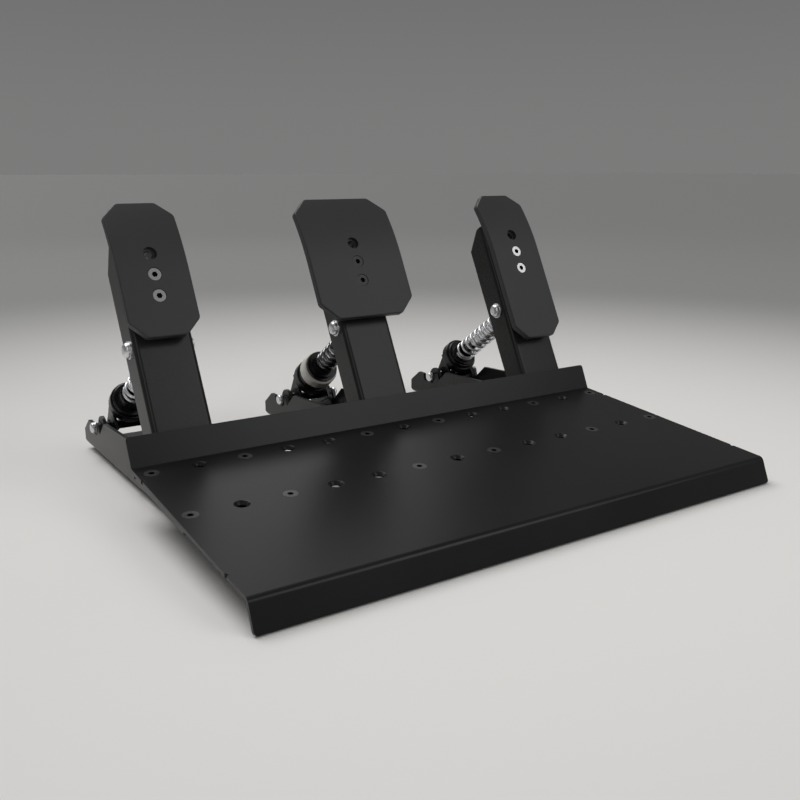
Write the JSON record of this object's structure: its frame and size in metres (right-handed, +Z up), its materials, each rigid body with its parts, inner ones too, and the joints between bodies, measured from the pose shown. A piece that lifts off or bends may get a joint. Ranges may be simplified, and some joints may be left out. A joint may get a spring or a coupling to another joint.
{
  "type": "sim racing pedal set",
  "caption": "Floor-mounted set of clutch, brake and throttle pedals on a bent steel heel plate, each pedal sprung by a coil-over strut.",
  "frame": {"origin": "on the floor, centre of the footprint", "axes": "+Z up, +Y away from the driver toward the struts, +X to the driver's right"},
  "size_m": [0.44, 0.3954, 0.2151],
  "materials": {
    "black_powder_coat": "satin powder coat",
    "black_frame_paint": "satin powder coat",
    "face_black": "fine matte coat",
    "countersunk_steel": "satin",
    "zinc_nut": "satin zinc",
    "foot_rubber": "matte",
    "black_bolt": "black oxide",
    "bright_bolt": "bright zinc",
    "grey_screw": "grey zinc",
    "box_plastic": "matte",
    "circuit_board": "solder mask",
    "bush_bronze": "sintered bronze",
    "sleeve_chrome": "polished",
    "dark_rod": "dark ground steel",
    "black_anodised": "black anodised",
    "spring_zinc": "bright zinc",
    "spring_dark": "dark chrome",
    "elastomer_beige": "smooth"
  },
  "bodies": {
    "frame": {"heel_plate": "black_powder_coat", "heel_plate_screws": "countersunk_steel", "base_nuts": "zinc_nut", "rubber_feet": "foot_rubber", "pivot_bolts": "black_bolt", "pivot_nuts": "zinc_nut", "strut_pins": "bright_bolt", "sensor_screws": "black_bolt", "control_box": "box_plastic", "control_box_lid": "box_plastic", "control_board": "circuit_board", "clutch_base": "black_frame_paint", "clutch_strut_bracket": "black_frame_paint", "clutch_sensor_housing": "box_plastic", "brake_base": "black_frame_paint", "brake_strut_bracket": "black_frame_paint", "brake_sensor_housing": "box_plastic", "throttle_base": "black_frame_paint", "throttle_strut_bracket": "black_frame_paint", "throttle_sensor_housing": "box_plastic"},
    "clutch_pedal_arm": {"clutch_arm": "black_frame_paint", "clutch_face_plate": "face_black", "clutch_face_spacer": "black_frame_paint", "clutch_face_fixings": "grey_screw", "clutch_eye_bolt": "bright_bolt", "clutch_pivot_bushes": "bush_bronze", "clutch_magnet_holder": "box_plastic"},
    "clutch_strut_upper": {"clutch_strut_sleeve": "sleeve_chrome", "clutch_strut_rod": "dark_rod"},
    "clutch_strut_lower": {"clutch_strut_cup": "black_anodised", "clutch_strut_fork": "black_anodised", "clutch_spring_seat": "black_anodised", "clutch_spring": "spring_zinc"},
    "brake_pedal_arm": {"brake_arm": "black_frame_paint", "brake_face_plate": "face_black", "brake_face_spacer": "black_frame_paint", "brake_face_fixings": "black_bolt", "brake_eye_bolt": "bright_bolt", "brake_pivot_bushes": "bush_bronze", "brake_magnet_holder": "box_plastic"},
    "brake_strut_upper": {"brake_strut_sleeve": "sleeve_chrome", "brake_strut_rod": "dark_rod"},
    "brake_strut_lower": {"brake_strut_cup": "black_anodised", "brake_strut_fork": "black_anodised", "brake_spring_seat": "black_anodised", "brake_spring": "spring_dark", "brake_elastomer": "elastomer_beige"},
    "throttle_pedal_arm": {"throttle_arm": "black_frame_paint", "throttle_face_plate": "face_black", "throttle_face_spacer": "black_frame_paint", "throttle_face_fixings": "bright_bolt", "throttle_eye_bolt": "bright_bolt", "throttle_pivot_bushes": "bush_bronze", "throttle_magnet_holder": "box_plastic"},
    "throttle_strut_upper": {"throttle_strut_sleeve": "sleeve_chrome", "throttle_strut_rod": "dark_rod"},
    "throttle_strut_lower": {"throttle_strut_cup": "black_anodised", "throttle_strut_fork": "black_anodised", "throttle_spring_seat": "black_anodised", "throttle_spring": "spring_zinc"}
  },
  "joints": [
    {"name": "clutch_pedal", "type": "hinge", "parent": "frame", "child": "clutch_pedal_arm", "pos_m": [-0.175, 0.01912, 0.0298], "axis": [-1, 0, 0], "range_deg": [0, 20], "stiffness_Nm_per_rad": 15, "springref_deg": -8.59},
    {"name": "clutch_strut_eye", "type": "hinge", "parent": "clutch_pedal_arm", "child": "clutch_strut_upper", "pos_m": [-0.175, 0.05938, 0.11019], "axis": [-1, 0, 0], "range_deg": [-20, 0]},
    {"name": "clutch_strut_stroke", "type": "slide", "parent": "clutch_strut_upper", "child": "clutch_strut_lower", "axis": [0, -0.8192, 0.5736], "range_m": [0, 0.03126], "deforming": ["clutch_spring"]},
    {"name": "brake_pedal", "type": "hinge", "parent": "frame", "child": "brake_pedal_arm", "pos_m": [0, 0.01912, 0.0298], "axis": [-1, 0, 0], "range_deg": [0, 9], "stiffness_Nm_per_rad": 120, "springref_deg": -1.15},
    {"name": "brake_strut_eye", "type": "hinge", "parent": "brake_pedal_arm", "child": "brake_strut_upper", "pos_m": [0, 0.05938, 0.11019], "axis": [-1, 0, 0], "range_deg": [-9, 0]},
    {"name": "brake_strut_stroke", "type": "slide", "parent": "brake_strut_upper", "child": "brake_strut_lower", "axis": [0, -0.8192, 0.5736], "range_m": [0, 0.01408], "deforming": ["brake_spring"]},
    {"name": "throttle_pedal", "type": "hinge", "parent": "frame", "child": "throttle_pedal_arm", "pos_m": [0.175, 0.01912, 0.0298], "axis": [-1, 0, 0], "range_deg": [0, 18], "stiffness_Nm_per_rad": 10, "springref_deg": -11.46},
    {"name": "throttle_strut_eye", "type": "hinge", "parent": "throttle_pedal_arm", "child": "throttle_strut_upper", "pos_m": [0.175, 0.05938, 0.11019], "axis": [-1, 0, 0], "range_deg": [-18, 0]},
    {"name": "throttle_strut_stroke", "type": "slide", "parent": "throttle_strut_upper", "child": "throttle_strut_lower", "axis": [0, -0.8192, 0.5736], "range_m": [0, 0.02814], "deforming": ["throttle_spring"]}
  ],
  "couplings": [
    {"joint": "clutch_strut_eye", "follows": "clutch_pedal", "ratio": -1},
    {"joint": "clutch_strut_stroke", "follows": "clutch_pedal", "m_per_rad": 0.0895},
    {"joint": "brake_strut_eye", "follows": "brake_pedal", "ratio": -1},
    {"joint": "brake_strut_stroke", "follows": "brake_pedal", "m_per_rad": 0.0895},
    {"joint": "throttle_strut_eye", "follows": "throttle_pedal", "ratio": -1},
    {"joint": "throttle_strut_stroke", "follows": "throttle_pedal", "m_per_rad": 0.0895}
  ]
}
